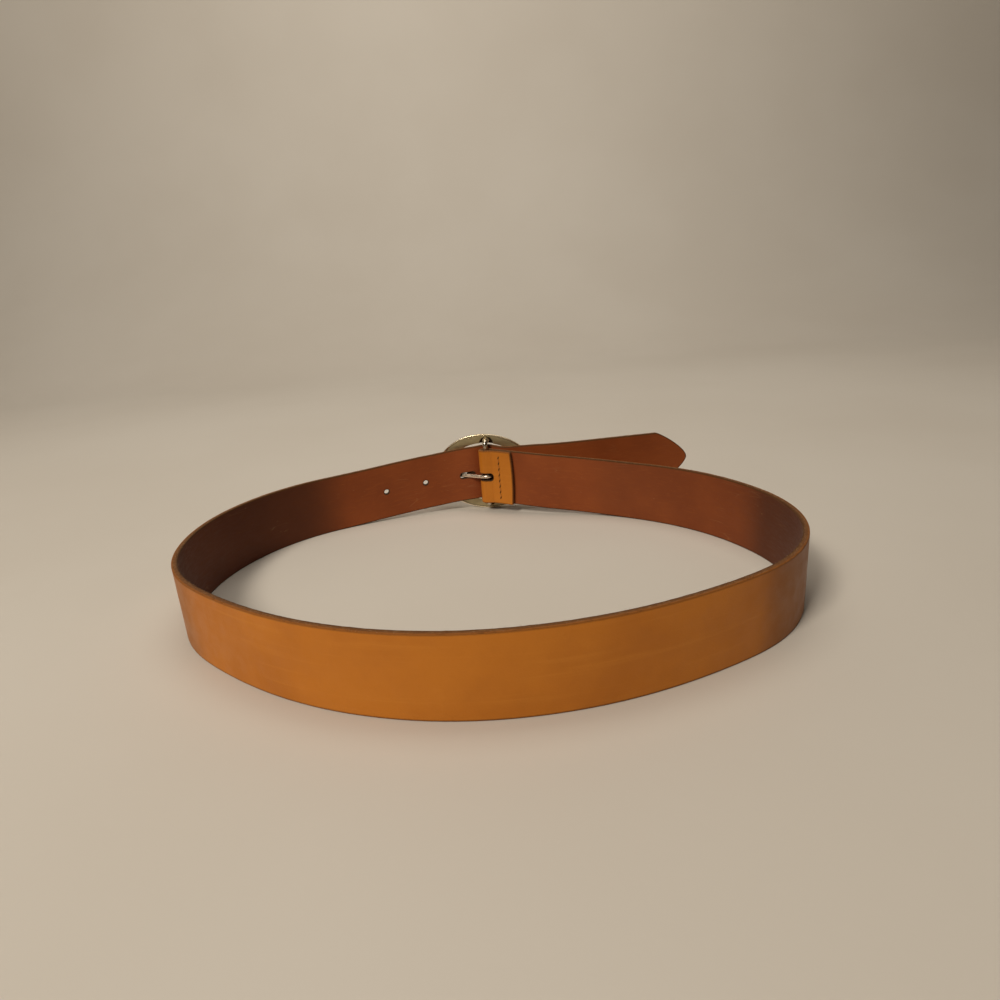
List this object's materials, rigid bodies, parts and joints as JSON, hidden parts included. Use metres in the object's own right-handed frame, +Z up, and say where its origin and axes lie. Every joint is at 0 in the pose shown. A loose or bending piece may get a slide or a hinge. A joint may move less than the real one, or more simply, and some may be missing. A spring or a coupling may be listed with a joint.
{
  "type": "waist belt",
  "caption": "Tan leather waist belt with an oval centre-bar buckle, fastened into a loop that stands on its edge with its tail end free.",
  "frame": {"origin": "centre of the bounding box in plan, at the level of the strap's lower edge, on which the belt stands", "axes": "+Z up, across the strap's width; +X along the loop's longer way, towards the tail end; +Y from the front of the loop towards the buckle"},
  "size_m": [0.2956, 0.2412, 0.05],
  "materials": {
    "strap_leather": "semi-matt pigmented grain outside, sealed brown flesh side inside, raw dark edges",
    "buckle_gold": "polished pale gold",
    "bar_metal": "polished, slightly worn",
    "prong_metal": "polished pale gold, worn",
    "stitch_thread": "waxed two-ply thread, dyed the same tan as the leather"
  },
  "bodies": {
    "strap": {"strap": "strap_leather", "needle_thread": "stitch_thread", "bobbin_thread": "stitch_thread"},
    "buckle": {"buckle_frame": "buckle_gold", "centre_bar": "bar_metal"},
    "prong": {"prong": "prong_metal"},
    "tail": {"strap_tail": "strap_leather"}
  },
  "joints": [
    {"name": "buckle_swing", "type": "hinge", "parent": "strap", "child": "buckle", "pos_m": [0.0028, 0.1047, 0.025], "axis": [0, 0, 1], "range_deg": [-1.5, 1.5]},
    {"name": "prong_rock", "type": "hinge", "parent": "buckle", "child": "prong", "pos_m": [0.0028, 0.1047, 0.025], "axis": [0, 0, -1], "range_deg": [0, 2.5]},
    {"name": "tail_flex", "type": "hinge", "parent": "strap", "child": "tail", "pos_m": [0.04558, 0.10194, 0.025], "axis": [0, 0, 1], "range_deg": [-20, 30], "stiffness_Nm_per_rad": 0.1}
  ]
}
